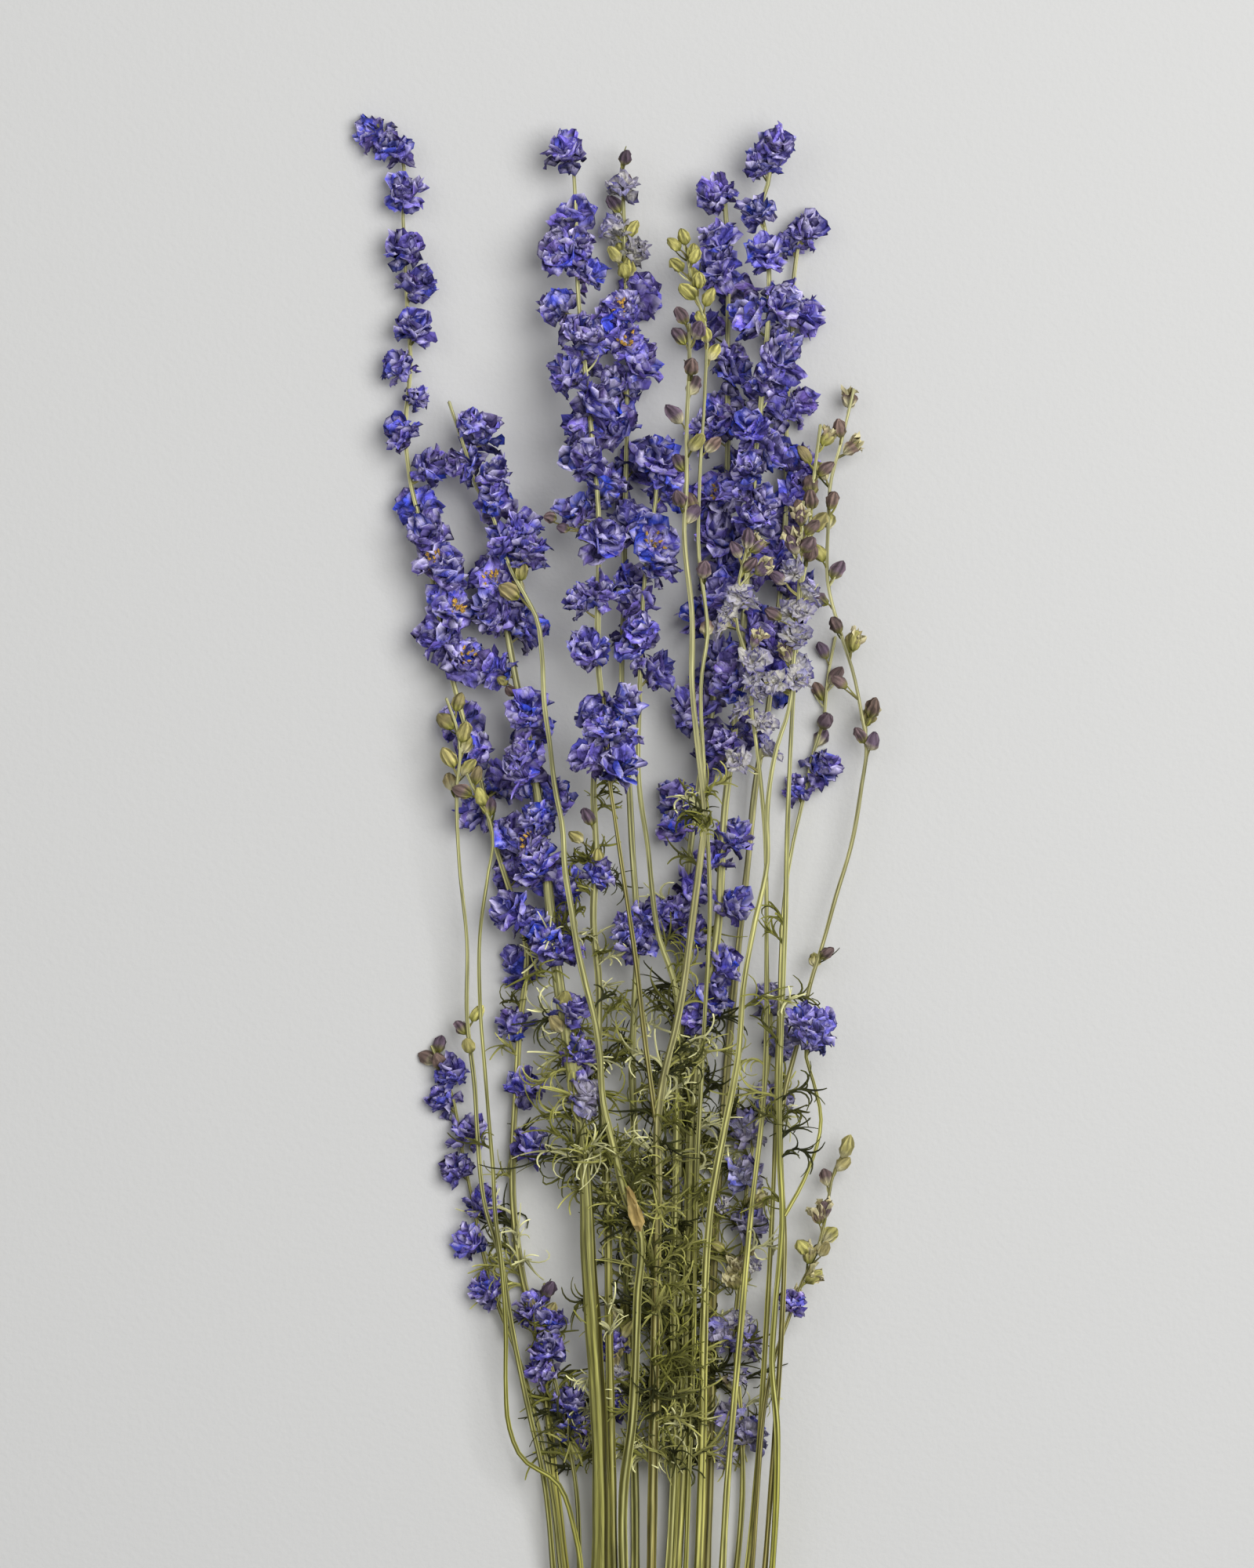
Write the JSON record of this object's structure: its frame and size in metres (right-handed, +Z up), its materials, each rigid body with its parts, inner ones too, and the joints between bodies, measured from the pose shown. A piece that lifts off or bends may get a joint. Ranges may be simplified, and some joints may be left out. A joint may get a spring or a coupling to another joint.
{
  "type": "bunch of dried delphinium",
  "caption": "Loose bunch of dried delphinium lying flat: ribbed straw stems with crumpled violet-blue double florets, closed buds and curled leaf threads.",
  "frame": {"origin": "middle of the bunch's box, on the surface that it lies on", "axes": "+Y from the cut ends to the tips of the flowers, +X across the bunch, +Z up from the surface"},
  "size_m": [0.2012, 0.6526, 0.0598],
  "materials": {
    "petal": "dry crumpled petal, matt",
    "petal_pale": "dry faded petal, matt",
    "bud": "dry papery bud, matt",
    "stem": "dry ribbed stem, satin",
    "leaf": "dry curled leaf, matt"
  },
  "bodies": {
    "root": {"spike_right_outer": "petal", "spike_right_inner": "petal", "spike_centre_right": "petal", "spike_far_left": "petal", "spike_low_left": "petal", "sprig_base_left": "petal", "sprig_base_middle": "petal", "spike_low_right": "petal", "stalk_right_side": "stem", "spike_right_tall": "petal", "spike_middle_low": "petal", "spike_centre_left": "petal", "spike_thick_stem": "petal", "spike_grey": "petal_pale", "sprig_bud_right": "bud", "stalk_far_right": "bud", "stalk_bud_right": "bud", "stalk_thin_centre": "bud", "stalk_forked": "stem", "spike_left_front": "petal", "spike_pale_right": "petal_pale", "stalk_bud_left": "bud", "stalk_looped_left": "stem"}
  },
  "joints": []
}
